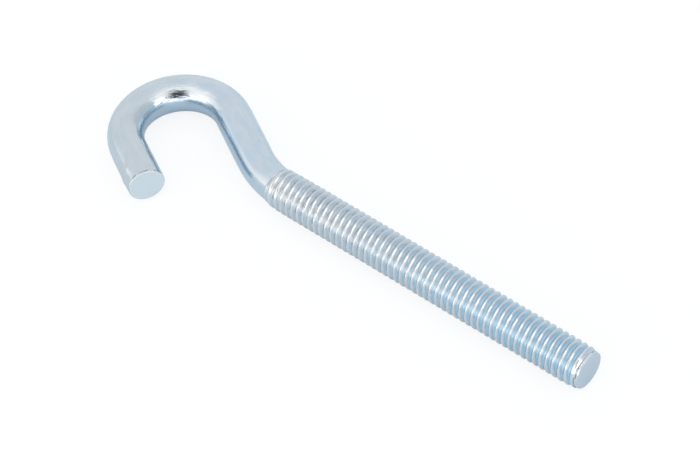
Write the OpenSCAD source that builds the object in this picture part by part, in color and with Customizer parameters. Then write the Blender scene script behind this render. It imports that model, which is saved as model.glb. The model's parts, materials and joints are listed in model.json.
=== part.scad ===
// Screw hook: one length of drawn steel rod, rolled with a metric thread along its shank,
// then bent into a neck and an open round hook.
// The thread's axis is X and its point faces +X. The hook lies flat in the XY plane.
// The origin is on the thread's axis, where the straight shank meets the neck's bend.
// Sizes are in millimetres and degrees.

/* [Thread] */
// Major diameter of the thread
thread_d = 5.88; // [4:0.02:12]
// Pitch of the thread, which also sets the rod that it is rolled from
thread_pitch = 1; // [0.5:0.05:1.75]
// Length of the straight shank, from the neck's bend to the point's face
shank_l = 50.5; // [10:0.5:200]
// Length of full thread that runs on round the neck's bend
thread_on_neck_l = 1; // [0.2:0.1:4]
// Length over which the thread fades into the plain rod
run_out_l = 1.3; // [0.5:0.1:3]

/* [Point] */
// Length over which the last turn fades down to the point
last_turn_l = 0.8; // [0.3:0.1:3]
// Length of the plain point beyond the thread
point_l = 0.8; // [0.5:0.1:4]
// Radius round the edge of the point's face
point_edge_r = 0.1; // [0.05:0.05:0.4]

/* [Neck] */
// Centreline radius of the neck's bend
neck_r = 16; // [8:0.5:60]
// Angle by which the neck leaves the thread's axis
neck_angle = 29; // [20:1:60]
// Straight length from the neck's bend to the hook
leg_l = 9; // [1:0.5:40]

/* [Hook] */
// Inside diameter of the hook
hook_inside_d = 10.25; // [6:0.05:40]
// Angle through which the hook turns
hook_angle = 181; // [120:1:220]
// Straight length from the hook to its free end
tail_l = 7.6; // [2:0.1:20]
// Radius round the edge of the free end's face
tail_edge_r = 0.12; // [0.02:0.02:0.4]
// Length of the flat that the cropping tool pressed on the outer side of the free end
crop_flat_l = 1.8; // [0.5:0.1:2]
// Depth of that flat at the face
crop_flat_depth = 0.2; // [0.05:0.05:0.5]

/* [Bending] */
// How much less the radius of the section is in a bend, where bending has stretched the rod
bend_thinning = 0.02; // [0.01:0.01:0.1]

/* [Hidden] */
$fn = 96;
zinc = [0.74, 0.80, 0.84];
// Each bend runs on by this length inside the stretches that it joins.
overlap = 0.2;
// A rolled thread is raised from a rod of its pitch diameter, so the plain rod has that size.
thread_height = sqrt(3) / 2 * thread_pitch;
rod_d = thread_d - 3 / 4 * thread_height;
hook_r = (hook_inside_d + rod_d) / 2;
full_thread_l = shank_l - last_turn_l - point_l;
thread_on_neck_angle = arc_angle(thread_on_neck_l, neck_r);
crop_flat_angle = atan(crop_flat_depth / crop_flat_l);

// The angle that a length of arc takes up on its radius.
function arc_angle(length, r) = length / r * 180 / PI;

// The straight shank, along +X from the origin. Its cylinder is the crest of the thread.
module shank() {
    along_x(1) cylinder(h = full_thread_l, d = thread_d);
    translate([full_thread_l, 0, 0])
        along_x(1) cylinder(h = last_turn_l, d1 = thread_d, d2 = rod_d);
    translate([full_thread_l + last_turn_l, 0, 0])
        along_x(1) rod_end(point_l, point_edge_r);
}

// The rod from the origin to the free end: the thread on the neck, then the plain rod of the
// neck, leg, hook and tail.
module bent_rod() {
    bend(neck_r, thread_on_neck_angle, 1, thread_d) {
        run_out();
        bend(neck_r, neck_angle - thread_on_neck_angle, 1, rod_d)
            straight(leg_l, rod_d)
                bend(hook_r, hook_angle, -1, rod_d)
                    tail();
    }
}

// The thread's run-out. It starts inside the end of the threaded bend, and its cone is carried
// on into the rod, so that it meets the curved rod without a step.
module run_out() {
    start_d = thread_d - 4 * bend_thinning;
    end_d = 2 * rod_d - start_d;
    along_x(-1) cylinder(h = 2 * run_out_l, d1 = start_d, d2 = end_d);
}

// The straight free end, with the cropping tool's flat on its outer side.
module tail() {
    difference() {
        along_x(-1) rod_end(tail_l, tail_edge_r);
        translate([crop_flat_l - tail_l, rod_d / 2, 0])
            rotate([0, 0, crop_flat_angle])
                translate([-2 * crop_flat_l, 0, -rod_d / 2])
                    cube([3 * crop_flat_l, rod_d, rod_d]);
    }
}

// A bend of the rod, run towards -X from the origin and turned to the side of +Y (1) or -Y (-1).
// What follows it is drawn at its end.
module bend(r, angle, side, d) {
    overlap_angle = arc_angle(overlap, r);
    mirror([0, side > 0 ? 1 : 0, 0])
        translate([0, -r, 0])
            rotate([0, 0, 90])
                rotate_extrude(angle = angle + 2 * overlap_angle, start = -overlap_angle)
                    translate([r, 0])
                        circle(r = d / 2 - bend_thinning);
    translate([0, side * r, 0])
        rotate([0, 0, -side * angle])
            translate([0, -side * r, 0])
                children();
}

// A straight stretch of rod, run towards -X from the origin. What follows it is drawn at its end.
module straight(length, d) {
    along_x(-1) cylinder(h = length, d = d);
    translate([-length, 0, 0]) children();
}

// A plain stretch of rod along +Z, with the edge of its far face rounded.
module rod_end(length, edge_r) {
    rotate_extrude() {
        square([rod_d / 2 - edge_r, length]);
        square([rod_d / 2, length - edge_r]);
        translate([rod_d / 2 - edge_r, length - edge_r]) circle(r = edge_r);
    }
}

// Turns what is drawn along +Z to run along X, forwards (1) or back (-1).
module along_x(way) {
    rotate([0, way * 90, 0]) children();
}

module screw_hook() {
    color(zinc)
        union() {
            shank();
            bent_rod();
        }
}

screw_hook();
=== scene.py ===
"""The looks of the screw hook: its rolled thread, its bent rod with the marks of drawing, bending
and cropping, and its blue-passivated zinc plating, in a plain pale studio."""
import json
import math

import bpy
import numpy as np
from mathutils import Matrix, Vector, noise


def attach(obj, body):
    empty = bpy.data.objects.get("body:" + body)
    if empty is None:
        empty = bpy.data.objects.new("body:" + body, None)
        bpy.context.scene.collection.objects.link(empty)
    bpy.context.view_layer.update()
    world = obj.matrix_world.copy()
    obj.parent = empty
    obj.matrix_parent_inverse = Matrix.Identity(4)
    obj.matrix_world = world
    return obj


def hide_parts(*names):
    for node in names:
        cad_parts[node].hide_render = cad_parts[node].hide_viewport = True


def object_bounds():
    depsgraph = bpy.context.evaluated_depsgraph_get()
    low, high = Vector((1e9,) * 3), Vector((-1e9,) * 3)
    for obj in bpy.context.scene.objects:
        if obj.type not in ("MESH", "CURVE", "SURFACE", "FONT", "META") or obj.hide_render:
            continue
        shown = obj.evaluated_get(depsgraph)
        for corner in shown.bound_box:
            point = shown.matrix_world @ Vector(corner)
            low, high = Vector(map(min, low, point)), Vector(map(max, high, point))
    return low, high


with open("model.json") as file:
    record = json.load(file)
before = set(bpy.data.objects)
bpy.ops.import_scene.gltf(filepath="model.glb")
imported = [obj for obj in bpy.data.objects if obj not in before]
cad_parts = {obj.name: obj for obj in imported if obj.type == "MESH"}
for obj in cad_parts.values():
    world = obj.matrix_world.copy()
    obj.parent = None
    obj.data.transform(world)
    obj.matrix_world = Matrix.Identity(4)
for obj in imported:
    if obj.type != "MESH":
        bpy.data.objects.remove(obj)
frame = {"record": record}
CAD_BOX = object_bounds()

# All lengths are in millimetres up to the last step, which writes the mesh in metres.
MM = 0.001
NODE = "screw_hook"
BODY = "root"

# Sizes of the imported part
THREAD = next(m for m in frame["record"]["mounts"] if m["name"] == "thread")
CREST_R = THREAD["dims"]["r_mm"]
PITCH = 1.0
SHANK_L = CAD_BOX[1].x / MM
POINT_EDGE_R = 0.1
NECK_R = 16.0
NECK_ANGLE = math.radians(29)
LEG_L = 9.0
HOOK_INSIDE_D = 10.25
HOOK_ANGLE = math.radians(181)
TAIL_L = 7.6
TAIL_EDGE_R = 0.12
CROP_FLAT_L = 1.8
CROP_FLAT_DEPTH = 0.2

# The plain rod has the thread's pitch diameter.
ROD_R = CREST_R - 3 / 8 * math.sqrt(3) / 2 * PITCH
HOOK_R = HOOK_INSIDE_D / 2 + ROD_R

# The plain rod's skin lies this far inside the CAD solid's, and its bends are a little thinner.
SKIN_INSET = 0.002
BEND_THINNING = 0.025
BEND_FADE = 0.5

# Places along the rod. Along is the CAD's X on the shank, and runs on below zero round the hook.
NECK_END = -NECK_R * NECK_ANGLE
HOOK_START = NECK_END - LEG_L
HOOK_END = HOOK_START - HOOK_R * HOOK_ANGLE
FREE_END = HOOK_END - TAIL_L
THREAD_START = -2.1
THREAD_END = 50.3

# The form of the rolled thread, by distance from a crest in pitches and depth below it: round
# crests, straight flanks and round roots
THREAD_FORM = (
    (0.000, 0.000), (0.028, 0.004), (0.053, 0.017), (0.074, 0.038), (0.310, 0.389),
    (0.347, 0.431), (0.393, 0.463), (0.445, 0.483), (0.500, 0.490),
)
FIRST_CREST = 0.225
# The pitch shortens a little towards the neck: the crests from here on fall out of step, by this
# much at the origin.
DRIFT_FROM = 45
CREST_DRIFT = 0.22
# Lengths over which the thread rises out of the plain rod at its two ends
RISE_AT_NECK = 0.18
RISE_AT_POINT = 0.05

# Radius of the crests and of the roots at places along the thread
CREST_LINE = (
    (-2.1, ROD_R - 0.03), (-1.3, CREST_R - 0.11), (1.0, CREST_R - 0.01), (48.0, CREST_R - 0.005),
    (49.2, CREST_R - 0.05), (49.95, CREST_R - 0.18), (50.03, ROD_R + 0.02), (50.3, ROD_R - 0.01),
)
ROOT_LINE = (
    (-2.1, ROD_R - 0.12), (-1.0, ROD_R - 0.14), (1.0, ROD_R - 0.15), (4.0, ROD_R - 0.16),
    (49.3, ROD_R - 0.16), (49.8, ROD_R - 0.15), (50.3, ROD_R - 0.08),
)

# Wear of the crests: the depth of each mark, and the size of its lumps
WEAR_DEPTH, WEAR_SIZE = 0.025, 1.6
CHIP_DEPTH, CHIP_SIZE = 0.06, 0.35
BURR_DEPTH, BURR_SIZE = 0.07, 0.45
BURR_FROM, BURR_TO = 49.1, 49.8

# The cropping tool squeezed the free end: a bulge behind its flat, and a swell across from it
BULGE_HEIGHT, BULGE_FROM_FACE, BULGE_WIDTH, BULGE_SIDE = 0.12, 2.3, 0.9, 30
SWELL_HEIGHT, SWELL_FROM, SWELL_TO, SWELL_SIDE = 0.06, 3.0, 6.0, 180
FLAT_FADE_FROM, FLAT_FADE_TO = 1.6, 2.1

# The end faces are dished, and are divided at these shares of their radius.
POINT_DISH = 0.03
FREE_DISH = 0.05
FACE_RINGS = (0.02, 0.15, 0.3, 0.45, 0.6, 0.75, 0.9)
# The end faces are the parts of the surface that are this near to the ends.
END_FACE_DEPTH = 0.055

# How finely the surface is divided: points round the rod, steps along the plain rod and in a
# rounded edge, and rows on the thread's straight flanks, besides those of its form
COLUMNS = 72
RING_STEP = 0.5
ARC_STEPS = 3
FLANK_ROWS = (0.13, 0.19, 0.25)
# Plain rings stand this far beyond the thread's two ends, and its rows stop short of them.
ROW_MARGIN = 0.02
RING_BEFORE_THREAD = 0.05
RING_AFTER_THREAD = 0.02


# ---------------------------------------------------------------- the rod's line and section

def centreline(along):
    """Centre points of the rod in the XY plane, and how far the rod has turned towards +Y there."""
    travel = SHANK_L - along
    place = np.tile((SHANK_L, 0.0), (len(along), 1))
    turn = np.zeros(len(along))
    done = 0.0
    for length, angle in (
        (SHANK_L, 0.0),
        (NECK_R * NECK_ANGLE, NECK_ANGLE),
        (LEG_L, 0.0),
        (HOOK_R * HOOK_ANGLE, -HOOK_ANGLE),
        (TAIL_L, 0.0),
    ):
        step = np.clip(travel - done, 0.0, length)
        half_turn = angle * step / length / 2
        chord = step * np.sinc(half_turn / math.pi)
        heading = turn + half_turn
        place += chord[:, None] * np.stack([-np.cos(heading), np.sin(heading)], 1)
        turn += 2 * half_turn
        done += length
    return place, turn


def on_surface(along, angle, radius):
    """Points of the rod at this angle round its line, from its +Y side towards +Z."""
    place, turn = centreline(along)
    sideways = radius * np.cos(angle)
    x = place[:, 0] + sideways * np.sin(turn)
    y = place[:, 1] + sideways * np.cos(turn)
    return np.stack([x, y, radius * np.sin(angle)], 1)


def ramp(value, low, high):
    """0 below low, 1 above high, and smooth between."""
    share = np.clip((value - low) / (high - low), 0.0, 1.0)
    return share * share * (3 - 2 * share)


def hump(value, middle, width):
    """A smooth hump of height 1 at the middle, gone at a width away."""
    return 1 - ramp(np.abs(value - middle), 0.0, width)


def facing(angle, middle):
    """1 where the surface faces this angle, in degrees, and falling to 0 a quarter turn away."""
    return np.clip(np.cos(angle - math.radians(middle)), 0.0, 1.0)


def ripple(along, angle, size, seed):
    """Smooth noise on the surface, with lumps of about this size."""
    x = along / size
    y = ROD_R * np.cos(angle) / size
    z = ROD_R * np.sin(angle) / size + seed
    return np.array([noise.noise(p) for p in np.stack([x, y, z], 1)])


def follow(line, along):
    """The value of a line of (place, value) pairs at these places."""
    places, values = zip(*line)
    return np.interp(along, places, values)


def drift(along):
    """How far the turns of the thread are out of step here."""
    return CREST_DRIFT * np.clip((DRIFT_FROM - along) / DRIFT_FROM, 0, 1)**2


def thread_radius(along, angle):
    """The thread's surface. A groove that is less deep is narrower, with flanks as steep."""
    phase = (along - FIRST_CREST - drift(along)) / PITCH - angle / (2 * math.pi)
    from_root = np.abs(phase % 1 - 0.5)
    crest = follow(CREST_LINE, along)
    full_depth = THREAD_FORM[-1][1]
    fullness = np.clip((crest - follow(ROOT_LINE, along)) / full_depth, 0.05, 1)
    from_crest = 0.5 - np.minimum(from_root / fullness, 0.5)
    depth = fullness * follow(THREAD_FORM, from_crest)
    near_crest = 1 - ramp(depth, 0.0, 0.25)
    wear = WEAR_DEPTH * np.clip(ripple(along, angle, WEAR_SIZE, 3.0), 0, 1)
    chips = CHIP_DEPTH * ramp(ripple(along, angle, CHIP_SIZE, 9.0), 0.25, 0.6)
    torn = np.clip(ripple(along, angle, BURR_SIZE, 5.0) + 0.1, 0, 1)
    burr = BURR_DEPTH * ramp(along, BURR_FROM, BURR_TO) * torn
    return crest - depth - near_crest * (wear + chips + burr)


def rod_radius(along, angle):
    """The plain rod: thinner in its bends, and with the cropping tool's marks at its free end."""
    in_neck = ramp(along, NECK_END - BEND_FADE, NECK_END) * (1 - ramp(along, -BEND_FADE, BEND_FADE))
    in_hook = ramp(along, HOOK_END - BEND_FADE, HOOK_END)
    in_hook *= 1 - ramp(along, HOOK_START, HOOK_START + BEND_FADE)
    radius = ROD_R - SKIN_INSET - BEND_THINNING * np.maximum(in_neck, in_hook)
    from_face = along - FREE_END
    bulge = hump(from_face, BULGE_FROM_FACE, BULGE_WIDTH)
    radius += BULGE_HEIGHT * bulge * facing(angle, BULGE_SIDE)**2
    swell = 1 - ramp(from_face, SWELL_FROM, SWELL_TO)
    radius += SWELL_HEIGHT * swell * facing(angle, SWELL_SIDE)**2
    flat = ROD_R - CROP_FLAT_DEPTH * np.clip(1 - from_face / CROP_FLAT_L, 0, 1)
    flat_radius = flat / np.maximum(facing(angle, 0), 0.5)
    near_face = 1 - ramp(from_face, FLAT_FADE_FROM, FLAT_FADE_TO)
    return radius + near_face * np.minimum(flat_radius - radius, 0)


def surface_radius(along, angle):
    """The whole rod, threaded where it has its thread."""
    threaded = ramp(along, THREAD_START, THREAD_START + RISE_AT_NECK)
    threaded *= 1 - ramp(along, THREAD_END - RISE_AT_POINT, THREAD_END)
    rod = rod_radius(along, angle)
    return rod + threaded * (thread_radius(along, angle) - rod)


# ---------------------------------------------------------------- the surface as a mesh

class Skin:
    """The rod's surface: points by their place along and round it, and the faces between them."""

    def __init__(self):
        self.points = np.zeros((0, 3))
        self.faces = []

    def add(self, along, angle, radius):
        """Adds points, and gives their numbers."""
        first = len(self.points)
        self.points = np.vstack([self.points, np.stack([along, angle, radius], 1)])
        return np.arange(first, len(self.points))

    def ring(self, along, inset=0.0, share=1.0):
        """A ring of the surface at one place, or one drawn in from it."""
        angle = np.arange(COLUMNS) * (2 * math.pi / COLUMNS)
        place = np.full(COLUMNS, float(along))
        return self.add(place, angle, (surface_radius(place, angle) - inset) * share)

    def join(self, rings):
        """Faces between rings, which run towards the free end."""
        for ring, other in zip(rings, rings[1:]):
            after = np.roll(ring, -1)
            other_after = np.roll(other, -1)
            self.faces += np.stack([ring, other, other_after, after], 1).tolist()

    def face_rings(self, end, way, edge_r, dish):
        """Rings from the middle of an end face out to its side, with a rounded edge."""
        rings = []
        for share in FACE_RINGS:
            depth = dish * (1 - share**2)
            rings.append(self.ring(end - way * depth, inset=edge_r, share=share))
        for step in range(ARC_STEPS + 2):
            tilt = step / (ARC_STEPS + 1) * math.pi / 2
            along = end - way * edge_r * (1 - math.cos(tilt))
            rings.append(self.ring(along, inset=edge_r * (1 - math.sin(tilt))))
        return rings

    def cap(self, ring, at_point):
        """Closes the innermost ring of an end face with a middle point."""
        along = self.points[ring[0], 0]
        middle = self.add(np.array([along]), np.zeros(1), np.zeros(1))[0]
        for a, b in zip(ring, np.roll(ring, -1)):
            self.faces.append([middle, a, b] if at_point else [middle, b, a])


def threaded_part(skin, high_ring, low_ring, high, low):
    """The thread's surface. Its rows follow the helix, so each row ends one turn along from where
    it starts, and the rows are cut off where they meet the two plain rings."""
    to_root = sorted([place for place, depth in THREAD_FORM] + list(FLANK_ROWS))
    steps = np.array(to_root + [1 - place for place in to_root[-2:0:-1]])
    turns = np.arange(math.floor(low / PITCH) - 3, math.ceil(high / PITCH) + 2)
    start = (turns[:, None] + steps[None, :]).ravel() * PITCH + FIRST_CREST
    angle = np.arange(COLUMNS) * (2 * math.pi / COLUMNS)
    along = start[:, None] + angle[None, :] / (2 * math.pi) * PITCH
    along = along + drift(along)
    index = np.empty(along.shape, int)
    index[:] = np.where(along > high - ROW_MARGIN, high_ring[None, :], low_ring[None, :])
    inside = (along < high - ROW_MARGIN) & (along > low + ROW_MARGIN)
    angles = np.broadcast_to(angle, along.shape)[inside]
    index[inside] = skin.add(along[inside], angles, surface_radius(along[inside], angles))
    one_turn = len(steps)
    for column in range(COLUMNS):
        here = index[:, column]
        if column + 1 < COLUMNS:
            beside = index[:, column + 1]
        else:
            beside = np.concatenate([index[one_turn:, 0], np.full(one_turn, high_ring[0])])
        for a, b, c, d in zip(here, beside, beside[1:], here[1:]):
            corners = list(dict.fromkeys((int(a), int(b), int(c), int(d))))
            if len(corners) > 2:
                skin.faces.append(corners)


def build_skin():
    """The whole surface, from the middle of the point's face to the middle of the free end's."""
    skin = Skin()
    point = skin.face_rings(SHANK_L, 1, POINT_EDGE_R, POINT_DISH)
    skin.cap(point[0], at_point=True)
    plain_from = THREAD_END + RING_AFTER_THREAD
    point.append(skin.ring(plain_from))
    skin.join(point)
    plain_to = THREAD_START - RING_BEFORE_THREAD
    last = FREE_END + TAIL_EDGE_R
    count = round((plain_to - last) / RING_STEP)
    rod = [skin.ring(plain_to + (last - plain_to) * n / count) for n in range(count)]
    free = skin.face_rings(FREE_END, -1, TAIL_EDGE_R, FREE_DISH)[::-1]
    skin.join(rod + free)
    skin.cap(free[-1], at_point=False)
    threaded_part(skin, point[-1], rod[0], plain_from, plain_to)
    return skin


# The map that a bake uses, in shares of the image. Each half of the rod has a strip and a disc:
# the free end's half has the lower ones, and the point's half those above.
MAP_EDGE = 0.02
STRIP_L = 0.86
STRIP_H = 0.45
DISC_ACROSS = 0.95
DISC_UP = 0.25
DISC_R = 0.04
HALF_MAP = 0.5


def lay_out_map(mesh, skin):
    """The bake's map: the rod's side unrolled in two strips, and its two end faces as discs."""
    along, angle, radius = skin.points.T
    corner = np.empty(len(mesh.loops), np.int32)
    mesh.loops.foreach_get("vertex_index", corner)
    starts = np.empty(len(mesh.polygons), np.int32)
    mesh.polygons.foreach_get("loop_start", starts)
    sizes = np.diff(np.append(starts, len(corner)))
    turn = angle[corner]
    wraps = np.maximum.reduceat(turn, starts) - np.minimum.reduceat(turn, starts) > math.pi
    turn = turn + 2 * math.pi * (np.repeat(wraps, sizes) & (turn < math.pi))
    middle = np.add.reduceat(along[corner], starts) / sizes
    half_l = (SHANK_L - FREE_END) / 2
    at_point = np.repeat(middle > FREE_END + half_l, sizes)
    raised = HALF_MAP * at_point
    strip_start = np.where(at_point, FREE_END + half_l, FREE_END)
    across = MAP_EDGE + STRIP_L * (along[corner] - strip_start) / half_l
    up = MAP_EDGE + STRIP_H * turn / (2 * math.pi) + raised
    to_end = np.minimum(np.abs(along - SHANK_L), np.abs(along - FREE_END))
    on_face = np.repeat(np.maximum.reduceat(to_end[corner], starts) < END_FACE_DEPTH, sizes)
    scale = DISC_R / CREST_R
    across = np.where(on_face, DISC_ACROSS + scale * (radius * np.cos(angle))[corner], across)
    up = np.where(on_face, DISC_UP + raised + scale * (radius * np.sin(angle))[corner], up)
    layer = mesh.uv_layers.new(name="OFBake")
    layer.data.foreach_set("uv", np.stack([across, up], 1).astype(np.float32).ravel())


def build_hook():
    """The visible hook. Its "rod" attribute holds each point's place on the rod, as if the rod
    were still straight, which the material works from."""
    skin = build_skin()
    along, angle, radius = skin.points.T
    mesh = bpy.data.meshes.new("hook_skin")
    mesh.from_pydata((on_surface(along, angle, radius) * MM).tolist(), [], skin.faces)
    mesh.validate()
    mesh.shade_smooth()
    straight = np.stack([along, radius * np.cos(angle), radius * np.sin(angle)], 1)
    layer = mesh.attributes.new("rod", "FLOAT_VECTOR", "POINT")
    layer.data.foreach_set("vector", straight.astype(np.float32).ravel())
    lay_out_map(mesh, skin)
    hook = bpy.data.objects.new("hook_rod", mesh)
    bpy.context.scene.collection.objects.link(hook)
    return hook


# ---------------------------------------------------------------- node trees

class Nodes:
    """The nodes of a material or of the world, and short ways to add them. Each input is a plain
    value, or the socket that feeds it, and what comes back is the new node's socket."""

    def __init__(self, owner):
        owner.use_nodes = True
        self.tree = owner.node_tree
        self.tree.nodes.clear()

    def add(self, kind, inputs=None, output=0, **settings):
        node = self.tree.nodes.new("ShaderNode" + kind)
        for name, value in settings.items():
            setattr(node, name, value)
        for name, value in (inputs or {}).items():
            if isinstance(value, bpy.types.NodeSocket):
                self.tree.links.new(value, node.inputs[name])
            else:
                node.inputs[name].default_value = value
        return node.outputs[output] if node.outputs else None

    def math(self, operation, *values):
        return self.add("Math", dict(enumerate(values)), operation=operation)

    def ramp(self, value, low, high, low_result=0.0, high_result=1.0):
        """A smooth step between two values, which runs the other way where low is above high."""
        return self.add("MapRange", {
            "Value": value, "From Min": low, "From Max": high,
            "To Min": low_result, "To Max": high_result,
        }, interpolation_type="SMOOTHSTEP")

    def blend(self, share, value, other):
        """A plain value between two, by a share from 0 to 1."""
        return self.add("Mix", {0: share, 2: value, 3: other})

    def mix(self, share, colour, other):
        """A colour between two, by a share from 0 to 1."""
        sockets = {0: share}
        for name, value in ((6, colour), (7, other)):
            sockets[name] = (*value, 1) if isinstance(value, tuple) else value
        return self.add("Mix", sockets, output=2, data_type="RGBA")

    def noise(self, vector, scale, detail=2.0):
        """Noise whose lumps are about 1 / scale across, with a scale for each axis."""
        spread = self.add("VectorMath", {0: vector, 1: scale}, operation="MULTIPLY")
        return self.add("TexNoise", {"Vector": spread, "Scale": 1.0, "Detail": detail})


# ---------------------------------------------------------------- materials

# Colours of the plating, and of painted shade and a painted reflection on it. The plain rod has
# clouds of two tones, and both are greyer past the hook's bend than on the leg.
LEG_BLUE = (0.55, 0.665, 0.775)
LEG_PALE = (0.61, 0.70, 0.785)
TAIL_BLUE = (0.57, 0.65, 0.715)
TAIL_PALE = (0.61, 0.68, 0.745)
# Painted reflection: the rod's inner side, darker and bluer where it mirrors the shaded hook
INNER_PAINTED_REFLECTION = (0.49, 0.655, 0.80)
STREAK_GREY = (0.56, 0.62, 0.68)
SPECK_BROWN = (0.36, 0.34, 0.31)
RIM_BROWN = (0.33, 0.32, 0.31)
GROOVE_AT_NECK = (0.60, 0.69, 0.765)
GROOVE_AT_POINT = (0.455, 0.66, 0.815)
CREST_PALE = (0.68, 0.73, 0.78)
# Painted shade in the deepest part of the thread's roots
ROOT_PAINTED_SHADE = (0.30, 0.36, 0.42)
# Painted shade in the crease where the last turn is folded down
FOLD_PAINTED_SHADE = (0.17, 0.30, 0.45)
FREE_FACE = (0.73, 0.81, 0.87)
POINT_FACE = (0.60, 0.685, 0.775)

ROUGH_ROD, ROUGH_STREAK = 0.14, 0.26
ROUGH_GROOVE, ROUGH_CREST = 0.38, 0.25
ROUGH_FACE = 0.5

# Heights of the relief, in thousandths of a millimetre
DRAWN_HEIGHT = 6.0
WRINKLE_HEIGHT, WRINKLE_HEIGHT_IN_BEND = 6.0, 62.0
THREAD_GRAIN_HEIGHT = 12.0
FACE_GRAIN_HEIGHT = 14.0
RELIEF_UNIT = 1e-6

# Where the thread's colours begin, and where its last turn is folded down onto the point
THREAD_COLOUR_FROM, THREAD_COLOUR_TO = -2.02, -1.94
FOLD_PLACE = 50.03


def zinc_material():
    """Bright zinc plating under a thin blue passivation, on the marks of the steel."""
    material = bpy.data.materials.new("blue_zinc")
    nodes = Nodes(material)
    rod = nodes.add("Attribute", output="Vector", attribute_name="rod")
    axes = nodes.add("SeparateXYZ", {"Vector": rod}).node.outputs
    along = axes["X"]
    across = nodes.add("CombineXYZ", {"Y": axes["Y"], "Z": axes["Z"]})
    from_line = nodes.add("VectorMath", {0: across}, output="Value", operation="LENGTH")
    threaded = nodes.ramp(along, THREAD_COLOUR_FROM, THREAD_COLOUR_TO)
    end_face = nodes.math(
        "MAXIMUM",
        nodes.ramp(along, SHANK_L - 0.06, SHANK_L - 0.03),
        nodes.ramp(along, FREE_END + 0.08, FREE_END + 0.05))
    colour, rough = zinc_on_rod(nodes, rod, along, axes["Y"], axes["Z"])
    thread_colour, thread_rough = zinc_on_thread(nodes, rod, along, from_line)
    colour = nodes.mix(threaded, colour, thread_colour)
    face_colour = nodes.mix(nodes.ramp(along, -1, 1), FREE_FACE, POINT_FACE)
    colour = nodes.mix(end_face, colour, face_colour)
    rough = nodes.blend(end_face, nodes.blend(threaded, rough, thread_rough), ROUGH_FACE)
    nodes.add("OutputMaterial", {"Surface": nodes.add("BsdfPrincipled", {
        "Base Color": colour,
        "Metallic": 1.0,
        "Roughness": rough,
        "Normal": surface_marks(nodes, rod, along, threaded, end_face),
    })})
    return material


def zinc_on_rod(nodes, rod, along, y, z):
    """Colour and roughness of the plain rod: clouds, a painted reflection that makes its inner side
    darker and bluer, dull streaks along it, a few brownish specks, and brown dots at the free end's
    rim."""
    clouds = nodes.ramp(nodes.noise(rod, (0.35, 0.8, 0.8), 3.0), 0.35, 0.65)
    past_bend = nodes.ramp(along, HOOK_START - 3, HOOK_END + 4)
    colour = nodes.mix(
        clouds,
        nodes.mix(past_bend, LEG_BLUE, TAIL_BLUE),
        nodes.mix(past_bend, LEG_PALE, TAIL_PALE))
    # Painted reflection: the inner side is tinted darker and bluer, most of all away from the
    # thread
    inner_painted_reflection = nodes.math(
        "MULTIPLY", nodes.ramp(y, -1.5, -2.6, 0.0, 0.6), nodes.ramp(along, -4, -11, 0.3, 1.0))
    colour = nodes.mix(inner_painted_reflection, colour, INNER_PAINTED_REFLECTION)
    streaks = nodes.ramp(nodes.noise(rod, (0.2, 3.5, 3.5), 3.0), 0.5, 0.72)
    colour = nodes.mix(nodes.math("MULTIPLY", streaks, 0.35), colour, STREAK_GREY)
    specks = nodes.ramp(nodes.noise(rod, (2.0, 5.0, 5.0), 2.0), 0.69, 0.78)
    colour = nodes.mix(nodes.math("MULTIPLY", specks, 0.6), colour, SPECK_BROWN)
    near_face = nodes.ramp(along, FREE_END + 0.45, FREE_END + 0.2)
    rim = nodes.math("MULTIPLY", near_face, nodes.ramp(z, 0.6, 1.6))
    dots = nodes.ramp(nodes.noise(rod, (2.0, 4.0, 4.0), 2.0), 0.47, 0.56)
    colour = nodes.mix(nodes.math("MULTIPLY", rim, dots), colour, RIM_BROWN)
    return colour, nodes.blend(streaks, ROUGH_ROD, ROUGH_STREAK)


def zinc_on_thread(nodes, rod, along, from_line):
    """Colour and roughness of the thread: blue in its grooves, most of all towards the point, with
    a line of painted shade in the roots, most of all near the neck, and one of painted shade where
    the last turn is folded."""
    groove = nodes.mix(nodes.ramp(along, 2, 42), GROOVE_AT_NECK, GROOVE_AT_POINT)
    uneven = nodes.math("SUBTRACT", nodes.noise(rod, (1.5, 1.5, 1.5), 3.0), 0.5)
    height = nodes.math("MULTIPLY_ADD", uneven, 0.3, from_line)
    raised = nodes.math(
        "MAXIMUM",
        nodes.ramp(height, CREST_R - 0.34, CREST_R - 0.13),
        nodes.ramp(along, 49.5, 49.9))
    colour = nodes.mix(raised, groove, CREST_PALE)
    # Painted shade: a dark line in the deepest part of the roots, strongest near the neck
    root_height = nodes.math("MULTIPLY_ADD", uneven, 0.16, from_line)
    in_root = nodes.ramp(root_height, CREST_R - 0.45, CREST_R - 0.49)
    root_painted_shade = nodes.math("MULTIPLY", in_root, nodes.ramp(along, 0.5, 34, 0.9, 0.3))
    colour = nodes.mix(root_painted_shade, colour, ROOT_PAINTED_SHADE)
    # Painted shade: a dark blue line along the crease of the last turn's fold
    fold_place = nodes.math("MULTIPLY_ADD", uneven, 0.5, FOLD_PLACE)
    from_fold = nodes.math("ABSOLUTE", nodes.math("SUBTRACT", along, fold_place))
    colour = nodes.mix(nodes.ramp(from_fold, 0.09, 0.03, 0.0, 0.85), colour, FOLD_PAINTED_SHADE)
    return colour, nodes.blend(raised, ROUGH_GROOVE, ROUGH_CREST)


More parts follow.
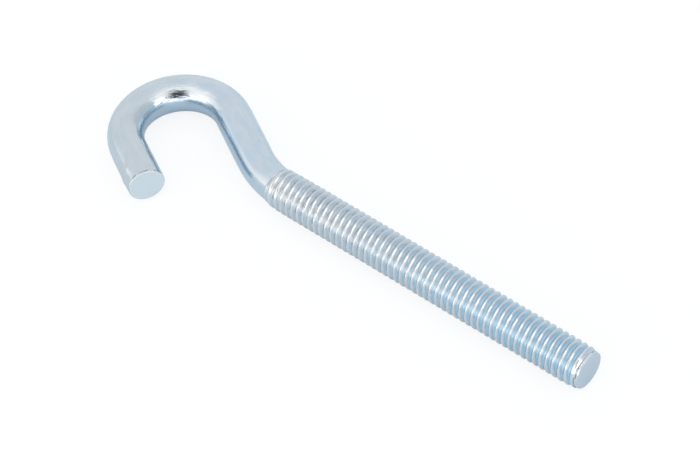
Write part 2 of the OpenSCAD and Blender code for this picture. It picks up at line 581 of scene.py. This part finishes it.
def surface_marks(nodes, rod, along, threaded, end_face):
    """The fine relief: lines of drawing along the rod, wrinkles in the hook's bend, the grain of
    the plating, and the rough cropped faces."""
    bent = nodes.math(
        "MULTIPLY",
        nodes.ramp(along, HOOK_START + 1, HOOK_START - 4),
        nodes.ramp(along, HOOK_END - 1, HOOK_END + 4))
    drawn = nodes.math("MULTIPLY", nodes.noise(rod, (0.15, 5.0, 5.0), 2.0), DRAWN_HEIGHT)
    wrinkles = nodes.math(
        "MULTIPLY",
        nodes.noise(rod, (0.6, 3.2, 3.2), 4.0),
        nodes.blend(bent, WRINKLE_HEIGHT, WRINKLE_HEIGHT_IN_BEND))
    grain = nodes.noise(rod, (2.5, 2.5, 2.5), 3.0)
    on_rod = nodes.math("ADD", drawn, wrinkles)
    on_thread = nodes.math("MULTIPLY", grain, THREAD_GRAIN_HEIGHT)
    on_face = nodes.math("MULTIPLY", grain, FACE_GRAIN_HEIGHT)
    relief = nodes.blend(end_face, nodes.blend(threaded, on_rod, on_thread), on_face)
    return nodes.add("Bump", {"Height": relief, "Strength": 1.0, "Distance": RELIEF_UNIT})


# The floor is this much a plain white to the camera and to what mirrors it. The rest is matt, and
# takes the object's shadow.
WHITE_TO_CAMERA = 0.8
WHITE_WHEN_MIRRORED = 0.16
FLOOR_MATT = (0.72, 0.83, 0.90, 1)
FLOOR_WHITE = (1.06, 1.06, 1.06, 1)


def floor_material():
    """A pale floor that is white in the camera's view and keeps a faint shadow there."""
    material = bpy.data.materials.new("floor_white")
    nodes = Nodes(material)
    rays = nodes.add("LightPath").node.outputs
    mirrored = nodes.math("MAXIMUM", rays["Is Glossy Ray"], rays["Is Transmission Ray"])
    white = nodes.math(
        "MULTIPLY_ADD", rays["Is Camera Ray"], WHITE_TO_CAMERA,
        nodes.math("MULTIPLY", mirrored, WHITE_WHEN_MIRRORED))
    nodes.add("OutputMaterial", {"Surface": nodes.add("MixShader", {
        0: white,
        1: nodes.add("BsdfDiffuse", {"Color": FLOOR_MATT}),
        2: nodes.add("Emission", {"Color": FLOOR_WHITE}),
    })})
    return material


# ---------------------------------------------------------------- studio

# Azimuths are counted from -Y towards +X, and all of these angles are in degrees.
CAMERA_AZIMUTH, CAMERA_ELEVATION, CAMERA_ROLL = 42.85, 48.0, -3.87
CAMERA_DISTANCE = 341.2
CAMERA_LENS = 131.3
# The camera aims this far from the middle of the object.
AIM_SHIFT = (1.04, 0.93, 0.0)

# The studio as it mirrors in the metal. Its front half, above the floor, is brighter than the
# dome. Each patch gives how it fades in and out across and upwards, from left to right and from
# bottom to top, and its light.
DOME = (0.92, 0.92, 0.92)
BRIGHT_FRONT = (1.43, 1.29, 1.18)
FRONT_AZIMUTH = 35
FRONT_FADE = (-0.18, 0.22)
FRONT_BOTTOM = (5, 12)
PATCHES = (
    ((98, 106), (200, 170), (-10, -5), (48, 36), (0.70, 0.74, 0.76)),
    ((-36, -28), (16, 8), (3, 8), (34, 20), (2.7, 2.4, 2.15)),
    ((8, 16), (80, 72), (0, 4), (15, 11), (2.7, 2.4, 2.2)),
    ((-78, -66), (-50, -58), (3, 9), (26, 18), (1.22, 1.19, 1.15)),
    ((76, 80), (107, 103), (8, 13), (38, 33), (2.6, 2.5, 2.4)),
    ((6, 34), (82, 54), (10, 17), (67, 54), (0.07, 0.07, 0.08)),
)
FLOOR_REACH = 2.0


def heading(azimuth, elevation):
    """The direction towards this azimuth and elevation."""
    a = math.radians(azimuth)
    e = math.radians(elevation)
    return Vector((math.sin(a) * math.cos(e), -math.cos(a) * math.cos(e), math.sin(e)))


def place_camera():
    aim = (CAD_BOX[0] + CAD_BOX[1]) / 2 + Vector(AIM_SHIFT) * MM
    back = heading(CAMERA_AZIMUTH, CAMERA_ELEVATION)
    data = bpy.data.cameras.new("camera")
    data.lens = CAMERA_LENS
    data.sensor_width = 36.0
    data.clip_start = 0.01
    camera = bpy.data.objects.new("camera", data)
    turned = (-back).to_track_quat("-Z", "Y").to_matrix().to_4x4()
    roll = Matrix.Rotation(math.radians(CAMERA_ROLL), 4, "Z")
    camera.matrix_world = Matrix.Translation(aim + back * CAMERA_DISTANCE * MM) @ turned @ roll
    bpy.context.scene.collection.objects.link(camera)
    bpy.context.scene.camera = camera


def light_world():
    world = bpy.data.worlds.new("studio")
    bpy.context.scene.world = world
    nodes = Nodes(world)
    towards = nodes.add("TexCoord", output="Generated")
    axes = nodes.add("SeparateXYZ", {"Vector": towards}).node.outputs
    azimuth = nodes.math("ARCTAN2", axes["X"], nodes.math("MULTIPLY", axes["Y"], -1.0))
    elevation = nodes.math("ARCSINE", axes["Z"])
    forward = nodes.add(
        "VectorMath", {0: towards, 1: heading(FRONT_AZIMUTH, 0)},
        output="Value", operation="DOT_PRODUCT")
    bottom, top = (math.radians(angle) for angle in FRONT_BOTTOM)
    front = nodes.math(
        "MULTIPLY", nodes.ramp(forward, *FRONT_FADE), nodes.ramp(elevation, bottom, top))
    light = nodes.mix(front, DOME, BRIGHT_FRONT)
    for left, right, bottom, top, colour in PATCHES:
        share = 1.0
        for angle, fade in (
            (azimuth, left), (azimuth, right), (elevation, bottom), (elevation, top),
        ):
            side = nodes.ramp(angle, math.radians(fade[0]), math.radians(fade[1]))
            share = nodes.math("MULTIPLY", side, share)
        light = nodes.mix(share, light, colour)
    shine = nodes.add("Background", {"Color": light, "Strength": 1.0})
    nodes.add("OutputWorld", {"Surface": shine})


def lay_floor():
    reach = FLOOR_REACH
    z = CAD_BOX[0].z
    corners = [(-reach, -reach, z), (reach, -reach, z), (reach, reach, z), (-reach, reach, z)]
    mesh = bpy.data.meshes.new("floor")
    mesh.from_pydata(corners, [], [(0, 1, 2, 3)])
    mesh.materials.append(floor_material())
    floor = bpy.data.objects.new("floor", mesh)
    bpy.context.scene.collection.objects.link(floor)


# ---------------------------------------------------------------- the scene

hook = build_hook()
hook.data.materials.append(zinc_material())
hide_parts(NODE)
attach(hook, BODY)

place_camera()
light_world()
lay_floor()
bpy.context.scene.view_settings.view_transform = "Standard"
